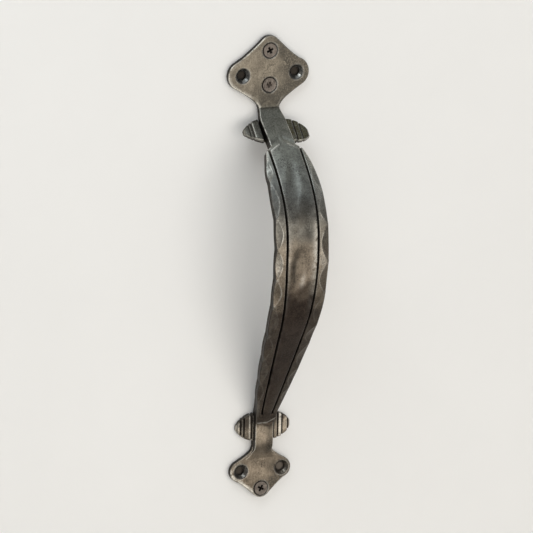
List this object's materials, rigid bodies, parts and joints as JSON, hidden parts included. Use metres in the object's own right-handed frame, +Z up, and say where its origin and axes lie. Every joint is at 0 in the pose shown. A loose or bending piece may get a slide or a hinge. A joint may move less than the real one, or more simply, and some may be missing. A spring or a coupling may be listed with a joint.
{
  "type": "forged pull handle",
  "caption": "Hand-forged iron pull handle: a curved, grooved grip with hammered edges between diamond-shaped fixing plates, with beaded wings and countersunk screws.",
  "frame": {"origin": "on the back face of the upper fixing plate, midway between the two screws on its centre line", "axes": "+Z up along the handle, +Y into the surface that it is fixed to, +X to the right as seen from the front"},
  "size_m": [0.0484, 0.0732, 0.2646],
  "materials": {
    "forged_iron": "bare forged iron, dark pewter grey, mottled, lightly pitted and waxed",
    "screw_steel": "darkened steel, brown-grey, slightly worn"
  },
  "bodies": {
    "root": {"handle": "forged_iron", "upper_top_screw": "screw_steel", "upper_centre_screw": "screw_steel", "lower_screw": "screw_steel"}
  },
  "joints": []
}
